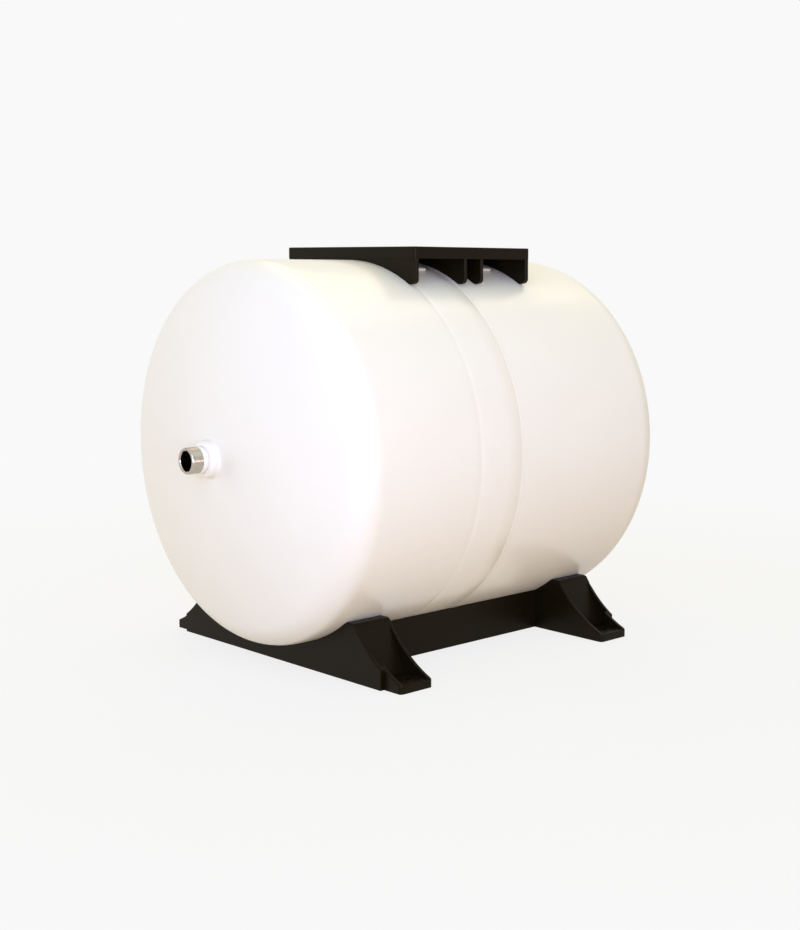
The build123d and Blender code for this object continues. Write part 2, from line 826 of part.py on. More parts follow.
def stand_bracket(middle_x):
    """Folded strip across the tank's crown: flat top for the screws, two legs, feet tangent to the tank."""
    underside = bracket_top - bracket_wall
    lean = asin(bracket_foot_y / tank_radius)
    foot_y = tank_radius * sin(lean)
    foot_z = axis_height + tank_radius * cos(lean)
    toe_y, toe_z = foot_y + bracket_foot * cos(lean), foot_z - bracket_foot * sin(lean)
    heel_y, heel_z = foot_y - bracket_foot * cos(lean), foot_z + bracket_foot * sin(lean)
    top_y = bracket_half - bracket_wall
    with BuildPart() as bracket:
        with BuildSketch(Plane.YZ.offset(middle_x - bracket_width / 2)):
            with BuildLine():
                under = FilletPolyline(
                    (-toe_y, toe_z),
                    (-heel_y, heel_z),
                    (-top_y, underside),
                    (top_y, underside),
                    (heel_y, heel_z),
                    (toe_y, toe_z),
                    radius=bracket_bend,
                )
                offset(under, amount=bracket_wall, side=Side.LEFT)
            make_face()
        extrude(amount=bracket_width)
        with BuildSketch(Plane.XY.offset(underside)):
            with Locations((middle_x, screw_y), (middle_x, -screw_y)):
                Circle(screw_hole)
        extrude(amount=bracket_wall, mode=Mode.SUBTRACT)
    return bracket


# Two brackets welded across the crown, one under each pair of screws
front_stand_bracket = stand_bracket(screw_x[0])
save(front_stand_bracket, "front_stand_bracket")
rear_stand_bracket = stand_bracket(screw_x[1])
save(rear_stand_bracket, "rear_stand_bracket")

# Weld nuts under the brackets
with BuildPart() as stand_nuts:
    with BuildSketch(Plane.XY.offset(bracket_top - bracket_wall - weld_nut_height)):
        with Locations(*screw_spots):
            RegularPolygon(weld_nut_across / 2, 6, major_radius=False)
            Circle(screw_radius + bore_gap, mode=Mode.SUBTRACT)
    extrude(amount=weld_nut_height)
save(stand_nuts, "stand_nuts")

# Countersunk M6 screws through the stand's plate into the weld nuts, with a hexagon socket
screw_top = stand_top - screw_sink
with BuildPart() as stand_screws:
    with BuildSketch(Plane.XY.offset(screw_top - screw_length)):
        with Locations(*screw_spots):
            Circle(screw_radius)
    extrude(amount=screw_length)
    with Locations(*[(x, y, screw_top) for x, y in screw_spots]):
        Cone(
            screw_radius,
            screw_head,
            screw_head_height,
            align=(Align.CENTER, Align.CENTER, Align.MAX),
        )
    with BuildSketch(Plane.XY.offset(screw_top - socket_depth)):
        with Locations(*screw_spots):
            RegularPolygon(socket_across / 2, 6, major_radius=False)
    extrude(amount=socket_depth, mode=Mode.SUBTRACT)
save(stand_screws, "stand_screws")
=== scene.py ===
import json
from math import asin, atan2, cos, pi, radians, sin, sqrt

import bmesh
import bpy
from mathutils import Matrix, Vector


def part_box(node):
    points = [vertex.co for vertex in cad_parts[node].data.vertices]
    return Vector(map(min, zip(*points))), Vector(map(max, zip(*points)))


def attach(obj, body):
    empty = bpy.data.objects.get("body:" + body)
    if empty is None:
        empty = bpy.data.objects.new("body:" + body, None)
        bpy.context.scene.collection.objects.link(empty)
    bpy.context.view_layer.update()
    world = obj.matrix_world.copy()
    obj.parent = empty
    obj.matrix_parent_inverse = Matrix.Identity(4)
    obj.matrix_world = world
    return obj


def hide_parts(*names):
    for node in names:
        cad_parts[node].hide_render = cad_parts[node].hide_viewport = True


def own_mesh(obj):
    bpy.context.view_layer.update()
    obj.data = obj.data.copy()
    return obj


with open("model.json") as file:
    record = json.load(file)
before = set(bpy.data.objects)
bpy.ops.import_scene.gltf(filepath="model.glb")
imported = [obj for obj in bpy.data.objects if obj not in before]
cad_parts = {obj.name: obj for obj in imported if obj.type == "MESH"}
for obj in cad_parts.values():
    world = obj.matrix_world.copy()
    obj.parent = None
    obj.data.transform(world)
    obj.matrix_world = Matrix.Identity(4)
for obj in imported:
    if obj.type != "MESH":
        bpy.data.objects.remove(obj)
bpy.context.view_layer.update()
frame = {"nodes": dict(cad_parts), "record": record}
nodes = frame["nodes"]
print("frame loaded:", len(nodes), "nodes")

# Sizes in metres. X runs along the tank from the water end to the air end, Z is up from the floor.
tank = {
    "axisHeight": 0.2158,
    "radius": 0.195,
    "tangent": 0.1838,       # half the length of the straight shell
    "crownRadius": 0.525,
    "knuckleRadius": 0.0337,
    "poleFlat": 0.024,
    "wall": 0.0015,
    "seam": -0.0003,         # where the rear half's edge lies over the joggle
    "joggle": 0.004,
    "lap": 0.012,
    "lapGap": 0.0001,
    "grooveX": -0.0607,
    "grooveHalf": 0.003,
    "grooveDepth": 0.00032,
    "grooveReach": 1.7,      # the groove with its soft lips, in half widths
    "frontRings": (-0.160, -0.130, -0.100, -0.075),
    "middleRings": (-0.045, -0.025),
    "rearRings": (0.150, 0.115, 0.080, 0.045, 0.020),
    "waterHole": 0.01325,
    "valveHole": 0.00485,
    "steps": 176,            # round the tank
}
axisPoint = Vector((0, 0, tank["axisHeight"]))


# Mesh helpers, all on Blender's own edit operators
mergeGap = 0.000008          # points nearer than this are joined
smoothAngle = 34             # edges flatter than this many degrees are shaded smooth


def onlySelect(piece):
    bpy.ops.object.select_all(action="DESELECT")
    piece.select_set(True)
    bpy.context.view_layer.objects.active = piece


def drawLine(name, points):
    # a small plane is merged to one point, and that point is extruded along the profile
    bpy.ops.object.select_all(action="DESELECT")
    bpy.ops.mesh.primitive_plane_add(size=0.002)
    piece = bpy.context.object
    piece.name = name
    bpy.ops.object.mode_set(mode="EDIT")
    bpy.ops.mesh.select_all(action="SELECT")
    bpy.ops.mesh.merge(type="CENTER")
    x, r = points[0]
    bpy.ops.transform.translate(value=(x, 0, tank["axisHeight"] + r))
    for (x, r), (nextX, nextR) in zip(points, points[1:]):
        bpy.ops.mesh.extrude_region_move(TRANSFORM_OT_translate={"value": (nextX - x, 0, nextR - r)})
    return piece


def spinRound(piece, steps, angle=smoothAngle):
    # the drawn profile is spun round the tank's axis and closed
    bpy.ops.mesh.select_all(action="SELECT")
    bpy.ops.mesh.spin(steps=steps, angle=2 * pi, center=axisPoint, axis=(1, 0, 0))
    bpy.ops.mesh.select_all(action="SELECT")
    bpy.ops.mesh.remove_doubles(threshold=mergeGap)
    bpy.ops.mesh.normals_make_consistent(inside=False)
    bpy.ops.object.mode_set(mode="OBJECT")
    onlySelect(piece)
    bpy.ops.object.shade_smooth_by_angle(angle=radians(angle))
    return piece


def turned(name, points, steps, angle=smoothAngle):
    return spinRound(drawLine(name, points + [points[0]]), steps, angle)


# Shell halves: the dished ends are worked out from the crown and knuckle radii
def crownMiddle():
    reach = tank["crownRadius"] - tank["knuckleRadius"]
    rise = tank["radius"] - tank["knuckleRadius"]
    return tank["tangent"] - sqrt(reach ** 2 - rise ** 2)


# distance from the tank's middle to the flat place at each pole
flatX = crownMiddle() + sqrt(tank["crownRadius"] ** 2 - tank["poleFlat"] ** 2)


def endPoints(side, inset, startRadius, crownCount=26, knuckleCount=16):
    crown = tank["crownRadius"] - inset
    knuckle = tank["knuckleRadius"] - inset
    rise = tank["radius"] - tank["knuckleRadius"]
    middle = crownMiddle()
    crownAngle = asin(rise / (tank["crownRadius"] - tank["knuckleRadius"]))
    pole = flatX - inset
    flatAngle = asin(sqrt(crown ** 2 - (pole - middle) ** 2) / crown)
    points = [(side * pole, startRadius)]
    for number in range(crownCount + 1):
        turn = flatAngle + (crownAngle - flatAngle) * number / crownCount
        points.append((side * (middle + crown * cos(turn)), crown * sin(turn)))
    for number in range(1, knuckleCount + 1):
        turn = crownAngle + (pi / 2 - crownAngle) * number / knuckleCount
        points.append((side * (tank["tangent"] + knuckle * cos(turn)), rise + knuckle * sin(turn)))
    return points


def groovePoints(inset, endX):
    # rolled groove: an arc pressed in, with a soft lip at each side
    top = tank["radius"] - inset
    points = [(x, top) for x in tank["frontRings"]]
    reach = tank["grooveReach"]
    for share in (-reach, -1.35, -1.1, -0.85, -0.6, -0.3, 0, 0.3, 0.6, 0.85, 1.1, 1.35, reach):
        dip = max(0, 1 - (abs(share) / reach) ** 1.6) ** 1.5
        points.append((tank["grooveX"] + share * tank["grooveHalf"], top - tank["grooveDepth"] * dip))
    return points + [(x, top) for x in tank["middleRings"] + (endX,)]


def shellFront():
    seam, joggle = tank["seam"], tank["joggle"]
    lapEnd = seam + tank["lap"]

    def half(inset):
        slip = tank["radius"] - tank["wall"] - tank["lapGap"] - inset
        points = endPoints(-1, inset, tank["waterHole"]) + groovePoints(inset, seam - joggle)
        return points + [(seam, slip), (lapEnd, slip)]
    return turned("shellFront", half(0) + half(tank["wall"])[::-1], tank["steps"])


def shellRear():
    def half(inset):
        top = tank["radius"] - inset
        straight = [(x, top) for x in tank["rearRings"] + (tank["seam"],)]
        return endPoints(1, inset, tank["valveHole"]) + straight
    return turned("shellRear", half(0) + half(tank["wall"])[::-1], tank["steps"])


shellFrontPiece = shellFront()
shellRearPiece = shellRear()
print("shell halves made")

# Weld beads: round the girth, at the collar and at the air valve's boss
welds = {
    "crown": 0.00012,
    "ripples": 150,
    "rippleHeight": 0.00015,
    "girthSteps": 300,
    "collarRoot": 0.018,     # radius that the bead lies round
    "collarLeg": 0.0024,
    "bossRoot": 0.011,
    "bossLeg": 0.0020,
    "root": 0.0002,          # how far a fillet reaches into the steel
    "hollow": 0.86,          # 0 gives a flat face, 1 a quarter round
    "filletRipples": 34.0,
    "filletHeight": 0.00030,
    "filletSteps": 120,
    "arcSteps": 8,
}


def girthBead():
    start, width = tank["seam"] - tank["joggle"], tank["joggle"]
    slip = tank["radius"] - tank["wall"] - tank["lapGap"]
    points = []
    for number in range(welds["arcSteps"] + 1):
        share = number / welds["arcSteps"]
        points.append((start + width * share, tank["radius"] + welds["crown"] * sin(pi * share)))
    points.append((tank["seam"], slip))
    return turned("girthBead", points, welds["girthSteps"], 40)


def filletBead(name, side, rootRadius, leg):
    # a fillet weld in the corner on the pole's flat place, its face slightly hollow
    root, hollow = welds["root"], welds["hollow"]
    points = [(side * (flatX - root), rootRadius - root), (side * (flatX + leg), rootRadius - root)]
    for number in range(welds["arcSteps"] + 1):
        share = number / welds["arcSteps"]
        along = (1 - sin(pi / 2 * share)) * hollow + (1 - share) * (1 - hollow)
        out = (1 - cos(pi / 2 * share)) * hollow + share * (1 - hollow)
        points.append((side * (flatX + leg * along), rootRadius + leg * out))
    points.append((side * (flatX - root), rootRadius + leg))
    return turned(name, points, welds["filletSteps"], 50)


girthPiece = girthBead()
collarWeld = filletBead("collarWeld", -1, welds["collarRoot"], welds["collarLeg"])
bossWeld = filletBead("bossWeld", 1, welds["bossRoot"], welds["bossLeg"])
print("welds made")

# Water connection: painted collar, stainless sleeve with its thread, and the bore
water = {
    "collarRadius": welds["collarRoot"],
    "collarLength": 0.010,
    "collarRound": 0.003,
    "collarBore": 0.0137,
    "collarBevel": 0.0005,
    "fitGap": 0.00005,
    "radius": 0.0132,
    "neck": 0.0130,
    "bore": 0.0100,
    "out": 0.0279,
    "mouth": ((0.0011, 0.0), (0.0005, 0.0003), (0.0, 0.0010)),      # along and out, rounding the bore's edge
    "chamfer": 0.0012,
    "chamferRound": 0.0003,
    "threadStart": 0.0026,
    "threadPitch": 0.0018,
    "threadDepth": 0.00030,
    "threadTurns": 6,
    "threadShape": ((0.0, 0), (0.18, 0.35), (0.34, 0.85), (0.45, 1), (0.56, 0.85), (0.72, 0.35), (0.9, 0)),
    "flangeInside": 0.0031,
    "flangeRadius": 0.021,
    "flangeThickness": 0.0035,
    "flangeRound": 0.0003,
    "ringGroove": 0.0016,
    "ringLow": 0.0162,
    "ringHigh": 0.0178,
    "ridges": 7,             # fine ridges left by the boring tool
    "ridgeStart": 0.004,
    "ridgePitch": 0.0036,
    "ridgeWidth": 0.0018,
    "ridgeHeight": 0.00016,
    "steps": 96,
}


def collar():
    face = flatX + water["collarLength"]
    inner, bore, bevel = water["radius"] + water["fitGap"], water["collarBore"], water["collarBevel"]
    points = [(-flatX, inner), (-flatX, water["collarRadius"])]
    for number in range(9):
        turn = pi / 2 * number / 8
        along = -face + water["collarRound"] * (1 - sin(turn))
        points.append((along, water["collarRadius"] - water["collarRound"] * (1 - cos(turn))))
    points += [(-face, bore + bevel), (-face + bevel, bore), (-face + bevel, inner)]
    return turned("waterCollar", points, water["steps"], 40)


def sleeve():
    front = -flatX - water["out"]
    radius, bore, neck = water["radius"], water["bore"], water["neck"]
    chamfer, soft = water["chamfer"], water["chamferRound"]
    points = [(front + along, bore + out) for along, out in water["mouth"]]
    points += [(front, radius - chamfer), (front + soft, radius - chamfer * 0.62)]
    points += [(front + chamfer, radius - 0.0001), (front + chamfer + soft, radius)]
    for number in range(water["threadTurns"]):
        turnStart = front + water["threadStart"] + number * water["threadPitch"]
        for share, dip in water["threadShape"]:
            points.append((turnStart + share * water["threadPitch"], radius - water["threadDepth"] * dip))
    collarFace = -flatX - water["collarLength"]
    points += [(collarFace - 0.0002, radius), (collarFace, neck)]
    flange = -flatX + water["flangeInside"]
    groove, low, high = flange + water["ringGroove"], water["ringLow"], water["ringHigh"]
    points += [(flange, neck), (flange, low), (groove, low), (groove, high), (flange, high)]
    back = flange + water["flangeThickness"]
    rim, edge = water["flangeRadius"], water["flangeRound"]
    points += [(flange, rim - edge), (flange + edge, rim)]
    points += [(back - edge, rim), (back, rim - edge), (back, bore)]
    for number in range(water["ridges"]):
        ridge = back - water["ridgeStart"] - number * water["ridgePitch"]
        points += [(ridge, bore), (ridge - water["ridgeWidth"] / 2, bore + water["ridgeHeight"])]
        points.append((ridge - water["ridgeWidth"], bore))
    return turned("waterSleeve", points, water["steps"], 26)


collarPiece = collar()
sleevePiece = sleeve()
print("water connection made")

# Valve cap at the air end, with a gripping edge
capLook = {
    "start": 0.257634,
    "length": 0.014,
    "radius": 0.0065,
    "bore": 0.0040,
    "depth": 0.0126,
    "ridges": 16,
    "ridgeDip": 0.00045,
    "ridgeLow": 0.0018,      # the grooves run between these distances from the two ends
    "ridgeHigh": 0.0020,
    "startRound": 0.0005,
    "edge": 0.0008,
    "rings": (0.0016, 0.0022),
    "endRings": (0.0026, 0.0018),
}


def valveCap():
    start, end = capLook["start"], capLook["start"] + capLook["length"]
    radius, bore, soft, edge = capLook["radius"], capLook["bore"], capLook["startRound"], capLook["edge"]
    inside = start + capLook["depth"]
    points = [(inside, 0.0), (inside, bore), (start, bore), (start, radius - soft), (start + soft, radius)]
    points += [(start + along, radius) for along in capLook["rings"]]
    points += [(end - along, radius) for along in capLook["endRings"]]
    points += [(end - edge, radius - 0.0001), (end - edge * 0.3, radius - 0.0004)]
    points += [(end, radius - 0.0011), (end, radius * 0.5), (end, 0.0)]
    piece = drawLine("capShell", points)
    spinRound(piece, capLook["ridges"] * 6, 30)
    # every sixth edge line between the two plain bands is drawn in to make the grooves
    bpy.ops.object.mode_set(mode="EDIT")
    bpy.ops.mesh.select_all(action="DESELECT")
    shape = bmesh.from_edit_mesh(piece.data)
    for vertex in shape.verts:
        out = vertex.co - axisPoint
        around = atan2(out.z, out.y) / (2 * pi) * capLook["ridges"]
        inBand = start + capLook["ridgeLow"] < vertex.co.x < end - capLook["ridgeHigh"]
        onSkin = Vector((out.y, out.z)).length > bore + 0.001
        vertex.select = inBand and onSkin and abs(around - round(around)) < 0.2
    shape.select_flush_mode()
    bmesh.update_edit_mesh(piece.data)
    share = 1 - capLook["ridgeDip"] / radius
    bpy.ops.transform.resize(value=(1, share, share), center_override=axisPoint)
    bpy.ops.object.mode_set(mode="OBJECT")
    return piece


capPiece = valveCap()
print("valve cap made")

# Valve spring: a coil drawn at rest; the real one shortens as the pin is pressed
coil = {
    "wire": 0.0005,
    "radius": 0.00175,
    "turns": 5,
    "steps": 28,
    "press": 0.0012,         # how far the pin is pressed in
}
coilLow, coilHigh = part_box("valve_spring")
coil["start"], coil["length"] = coilLow[0], coilHigh[0] - coilLow[0]


def valveCoil():
    bpy.ops.object.select_all(action="DESELECT")
    half = coil["wire"] / 2
    place = Vector((coil["start"] + half, 0, tank["axisHeight"]))
    bpy.ops.mesh.primitive_circle_add(vertices=14, radius=half, location=place)
    piece = bpy.context.object
    piece.name = "valveCoil"
    bpy.ops.object.mode_set(mode="EDIT")
    bpy.ops.mesh.select_all(action="SELECT")
    bpy.ops.transform.rotate(value=pi / 2, orient_axis="X", center_override=place)
    bpy.ops.transform.translate(value=(0, 0, coil["radius"]))
    bpy.ops.object.mode_set(mode="OBJECT")
    screw = piece.modifiers.new("screw", "SCREW")
    screw.axis = "X"
    screw.angle = 2 * pi
    screw.iterations = coil["turns"]
    screw.screw_offset = (coil["length"] - coil["wire"]) / coil["turns"]
    screw.steps = screw.render_steps = coil["steps"]
    bpy.ops.object.modifier_apply(modifier="screw")
    bpy.ops.object.mode_set(mode="EDIT")
    bpy.ops.mesh.select_all(action="SELECT")
    bpy.ops.mesh.fill_holes(sides=0)
    bpy.ops.mesh.select_all(action="SELECT")
    bpy.ops.mesh.normals_make_consistent(inside=False)
    bpy.ops.object.mode_set(mode="OBJECT")
    onlySelect(piece)
    bpy.ops.object.transform_apply(location=True, rotation=True, scale=True)
    bpy.ops.object.shade_smooth_by_angle(angle=radians(50))
    return piece


coilPiece = valveCoil()
print("valve spring made")


# Shader maths: one small class wraps a socket, and expressions on it add Math nodes
class Wire:
    def __init__(self, tree, socket=None):
        self.tree = tree
        self.socket = socket

    def put(self, slot, value):
        if isinstance(value, Wire):
            self.tree.links.new(value.socket, slot)
        else:
            slot.default_value = value

    def node(self, kind, settings=None, sockets=None, out=0):
        made = self.tree.nodes.new(kind)
        for key, value in (settings or {}).items():
            setattr(made, key, value)
        for key, value in (sockets or {}).items():
            self.put(made.inputs[key], value)
        return Wire(self.tree, made.outputs[out] if len(made.outputs) else None)

    def math(self, operation, first, second=0.0):
        return self.node("ShaderNodeMath", {"operation": operation}, {0: first, 1: second})

    def vector(self, operation, first, second):
        return self.node("ShaderNodeVectorMath", {"operation": operation}, {0: first, 1: second})

    def __add__(self, other):
        return self.math("ADD", self, other)

    def __sub__(self, other):
        return self.math("SUBTRACT", self, other)

    def __rsub__(self, other):
        return self.math("SUBTRACT", other, self)

    def __mul__(self, other):
        return self.math("MULTIPLY", self, other)

    def __gt__(self, other):
        return self.math("GREATER_THAN", self, other)

    __radd__ = __add__
    __rmul__ = __mul__

    def band(self, low, high):
        sockets = {"Value": self, "From Min": low, "From Max": high}
        return self.node("ShaderNodeMapRange", {"interpolation_type": "SMOOTHSTEP"}, sockets)

    def blend(self, first, second):
        settings = {"data_type": "RGBA", "clamp_factor": True}
        return self.node("ShaderNodeMix", settings, {0: self, 6: first, 7: second}, out=2)

    def noise(self, place, scale, detail=2.0, roughness=0.5):
        sockets = {"Vector": place, "Scale": scale, "Detail": detail, "Roughness": roughness}
        return self.node("ShaderNodeTexNoise", {}, sockets)

    def bump(self, height, distance, strength=1.0, normal=None):
        sockets = {"Height": height, "Distance": distance, "Strength": strength}
        if normal:
            sockets["Normal"] = normal
        return self.node("ShaderNodeBump", {}, sockets)


def newMaterial(name):
    material = bpy.data.materials.new(name)
    material.use_nodes = True
    tree = material.node_tree
    tree.nodes.clear()
    start = Wire(tree)
    place = start.node("ShaderNodeTexCoord", out=3)
    return material, start, place


def closeMaterial(material, start, sockets):
    shader = start.node("ShaderNodeBsdfPrincipled", {}, sockets)
    start.node("ShaderNodeOutputMaterial", {}, {"Surface": shader})
    return material


def rgb(red, green, blue):
    return (red, green, blue, 1.0)


# Ivory powder coat: a slight orange peel, a faint unevenness of tone, weld ripples where asked for
paintLook = {
    "color": rgb(0.900, 0.882, 0.852),
    "deep": rgb(0.868, 0.846, 0.806),
    "deepShare": 0.35,
    "cloudScale": 7.0,
    "roughness": 0.30,
    "roughnessSpread": 0.08,
    "coat": 0.12,
    "coatRoughness": 0.10,
    "gloss": 0.36,
    "peelScale": 520.0,
    "fineScale": 2600.0,
    "peelHeight": 0.00006,
    "wobbleScale": 60.0,
    "wobble": 1.6,
}


def paintMaterial(name, ripples=0.0, rippleHeight=0.0):
    material, start, place = newMaterial(name)
    cloud = start.noise(place, paintLook["cloudScale"], 3.0, 0.55)
    peel = start.noise(place, paintLook["peelScale"], 2.0, 0.5)
    fine = start.noise(place, paintLook["fineScale"], 1.0, 0.5)
    normal = start.bump(peel + fine * 0.2, paintLook["peelHeight"], 0.5)
    if ripples:
        fromAxis = start.vector("SUBTRACT", place, tuple(axisPoint))
        across = fromAxis.node("ShaderNodeSeparateXYZ", {}, {0: fromAxis}, out=1)
        up = fromAxis.node("ShaderNodeSeparateXYZ", {}, {0: fromAxis}, out=2)
        wobble = start.noise(place, paintLook["wobbleScale"], 2.0) * paintLook["wobble"]
        wave = start.math("SINE", start.math("ARCTAN2", up, across) * ripples + wobble)
        normal = start.bump(start.math("ABSOLUTE", wave), rippleHeight, 0.8, normal)
    tone = cloud.band(0.35, 0.75) * paintLook["deepShare"]
    return closeMaterial(material, start, {
        "Base Color": tone.blend(paintLook["color"], paintLook["deep"]),
        "Roughness": paintLook["roughness"] + (peel - 0.5) * paintLook["roughnessSpread"],
        "Specular IOR Level": paintLook["gloss"],
        "Coat Weight": paintLook["coat"],
        "Coat Roughness": paintLook["coatRoughness"],
        "Normal": normal,
    })


# Moulded black plastic: a fine spark-eroded grain, with slight scuffs
plasticLook = {
    "color": rgb(0.0068, 0.0048, 0.0017),
    "scuff": rgb(0.012, 0.009, 0.005),
    "roughness": 0.36,
    "gloss": 0.10,
    "glossTint": rgb(1.0, 0.84, 0.66),
    "grainScale": 1500.0,
    "grainHeight": 0.00007,
    "flowScale": 16.0,
    "scuffScale": 130.0,
}


def plasticMaterial(name):
    material, start, place = newMaterial(name)
    grain = start.noise(place, plasticLook["grainScale"], 3.0, 0.6)
    flow = start.noise(place, plasticLook["flowScale"], 4.0, 0.6)
    scuffs = start.noise(place, plasticLook["scuffScale"], 5.0, 0.7).band(0.56, 0.72) * flow.band(0.5, 0.7)
    color = (scuffs * 0.5).blend(plasticLook["color"], plasticLook["scuff"])
    return closeMaterial(material, start, {
        "Base Color": color,
        "Roughness": plasticLook["roughness"] + (flow - 0.5) * 0.10 + (grain - 0.5) * 0.08,
        "Specular IOR Level": plasticLook["gloss"],
        "Specular Tint": plasticLook["glossTint"],
        "Normal": start.bump(grain, plasticLook["grainHeight"], 0.55),
    })


# Turned stainless steel, its visible neck by the collar oversprayed with the tank's paint
steelLook = {
    "color": rgb(0.50, 0.45, 0.39),
    "dark": rgb(0.28, 0.23, 0.17),
    "roughness": 0.14,
    "oversprayFrom": -0.2597,
    "oversprayTo": -0.2588,
    "sprayRadius": 0.0122,   # no paint reached further in than this
    "sprayRoughness": 0.34,
    "raggedScale": 420.0,
    "ragged": 0.0006,
    "toolLines": (5200.0, 60.0, 60.0),
    "stainScale": 210.0,
}


def steelMaterial(name, overspray=False):
    material, start, place = newMaterial(name)
    lines = start.node("ShaderNodeMapping", {}, {"Vector": place, "Scale": steelLook["toolLines"]})
    turning = start.noise(lines, 1.0, 2.0, 0.6)
    stain = start.noise(place, steelLook["stainScale"], 3.0, 0.6)
    color = (stain.band(0.45, 0.8) * 0.5).blend(steelLook["color"], steelLook["dark"])
    roughness = steelLook["roughness"] + (turning - 0.5) * 0.14
    metallic = 1.0
    if overspray:
        along = start.node("ShaderNodeSeparateXYZ", {}, {0: place})
        spread = start.noise(place, steelLook["raggedScale"], 3.0) - 0.5
        ragged = along + spread * steelLook["ragged"]
        edge = ragged.band(steelLook["oversprayFrom"], steelLook["oversprayTo"])
        fromAxis = start.vector("SUBTRACT", place, tuple(axisPoint))
        flat = start.vector("MULTIPLY", fromAxis, (0.0, 1.0, 1.0))
        away = start.node("ShaderNodeVectorMath", {"operation": "LENGTH"}, {0: flat}, out=1)
        painted = edge * (away > steelLook["sprayRadius"])
        color = painted.blend(color, paintLook["color"])
        metallic = 1.0 - painted
        roughness = roughness * (1.0 - painted) + painted * steelLook["sprayRoughness"]
    return closeMaterial(material, start, {
        "Base Color": color,
        "Metallic": metallic,
        "Roughness": roughness,
        "Normal": start.bump(turning, 0.00003, 0.35),
    })


# Zinc plating and brass share one recipe: a mottled colour and fine scratches
def platedMaterial(name, light, dark, roughness, scale):
    material, start, place = newMaterial(name)
    mottle = start.noise(place, scale, 4.0, 0.65)
    lines = start.node("ShaderNodeMapping", {}, {"Vector": place, "Scale": (900.0, 900.0, 90.0)})
    scratch = start.noise(lines, 1.0, 2.0)
    color = mottle.band(0.35, 0.7).blend(light, dark)
    return closeMaterial(material, start, {
        "Base Color": color,
        "Metallic": 1.0,
        "Roughness": roughness + (mottle - 0.5) * 0.22,
        "Normal": start.bump(scratch, 0.00003, 0.3),
    })


# Rubber and liner plastic: matt, with a soft mottled surface
def softMaterial(name, light, dark, roughness, grainScale, grainHeight):
    material, start, place = newMaterial(name)
    grain = start.noise(place, grainScale, 3.0, 0.6)
    bloom = start.noise(place, 22.0, 3.0, 0.6)
    return closeMaterial(material, start, {
        "Base Color": bloom.band(0.4, 0.75).blend(light, dark),
        "Roughness": roughness + (bloom - 0.5) * 0.12,
        "Normal": start.bump(grain, grainHeight, 0.5),
    })


tankPaint = paintMaterial("tankPaint")
weldPaint = paintMaterial("weldPaint", welds["ripples"], welds["rippleHeight"])
filletPaint = paintMaterial("filletPaint", welds["filletRipples"], welds["filletHeight"])
blackPlastic = plasticMaterial("blackPlastic")
stainlessSteel = steelMaterial("stainlessSteel")
sleeveSteel = steelMaterial("sleeveSteel", overspray=True)
zincPlate = platedMaterial("zincPlate", rgb(0.62, 0.635, 0.66), rgb(0.46, 0.47, 0.49), 0.34, 260.0)
turnedBrass = platedMaterial("turnedBrass", rgb(0.76, 0.55, 0.25), rgb(0.60, 0.42, 0.18), 0.28, 190.0)

# name: light and dark colour, roughness, grain scale and height
softLook = {
    "sealRubber": (rgb(0.022, 0.022, 0.022), rgb(0.034, 0.033, 0.032), 0.56, 2400.0, 0.00004),
    "diaphragmRubber": (rgb(0.026, 0.025, 0.024), rgb(0.040, 0.038, 0.036), 0.70, 900.0, 0.00010),
    "linerPlastic": (rgb(0.78, 0.79, 0.79), rgb(0.72, 0.73, 0.74), 0.42, 700.0, 0.00005),
}
soft = {name: softMaterial(name, *look) for name, look in softLook.items()}
print("materials made")


def dress(piece, material):
    piece.data.materials.clear()
    piece.data.materials.append(material)


# New pieces: (piece, body, slot, CAD nodes that it stands for, material)
for piece, body, slotName, replaced, material in (
    (shellFrontPiece, "tank", "tank_paint", ["front_shell"], tankPaint),
    (shellRearPiece, "tank", "tank_paint", ["rear_shell"], tankPaint),
    (girthPiece, "tank", "tank_paint", ["girth_weld"], weldPaint),
    (collarWeld, "tank", "tank_paint", [], filletPaint),
    (bossWeld, "tank", "tank_paint", [], filletPaint),
    (collarPiece, "tank", "tank_paint", ["connection_collar"], tankPaint),
    (sleevePiece, "tank", "stainless", ["water_connection"], sleeveSteel),
    (capPiece, "cap", "brass", ["valve_cap"], turnedBrass),
    (coilPiece, "tank", "stainless", ["valve_spring"], stainlessSteel),
):
    dress(piece, material)
    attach(piece, body)
    if replaced:
        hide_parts(*replaced)

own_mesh(coilPiece)

# CAD nodes that stay as they are get their finish
slotFinish = {
    "tank_paint": tankPaint,
    "liner_plastic": soft["linerPlastic"],
    "diaphragm_rubber": soft["diaphragmRubber"],
    "seal_rubber": soft["sealRubber"],
    "stainless": stainlessSteel,
    "zinc_steel": zincPlate,
    "brass": turnedBrass,
    "black_moulding": blackPlastic,
}
for part in frame["record"]["subparts"]:
    dress(nodes[part["node"]], slotFinish[part["material_slot"]])
print("finishes set")

# Floor and surroundings: white for the camera and in reflections, with the object's soft shadow kept
surround = {
    "white": 0.947,
    "floorShade": rgb(0.135, 0.135, 0.135),   # the part of the floor's white that a shadow can take away
    "floorGlow": 0.797,
    "floorBounce": rgb(0.64, 0.51, 0.27),     # warm light that the floor sends up under the tank
    "floorFarSide": rgb(0.34, 0.25, 0.11),
    "fadeFrom": 0.40,
    "fadeTo": 1.25,
    "ambient": rgb(1.0, 0.93, 0.7),
    "ambientStrength": 0.554,
}


def seenDirectly(start):
    path = start.node("ShaderNodeLightPath")
    outs = path.socket.node.outputs
    camera = Wire(start.tree, outs["Is Camera Ray"])
    glossy = Wire(start.tree, outs["Is Glossy Ray"])
    through = Wire(start.tree, outs["Is Transmission Ray"])
    return start.math("MAXIMUM", start.math("MAXIMUM", camera, glossy), through)


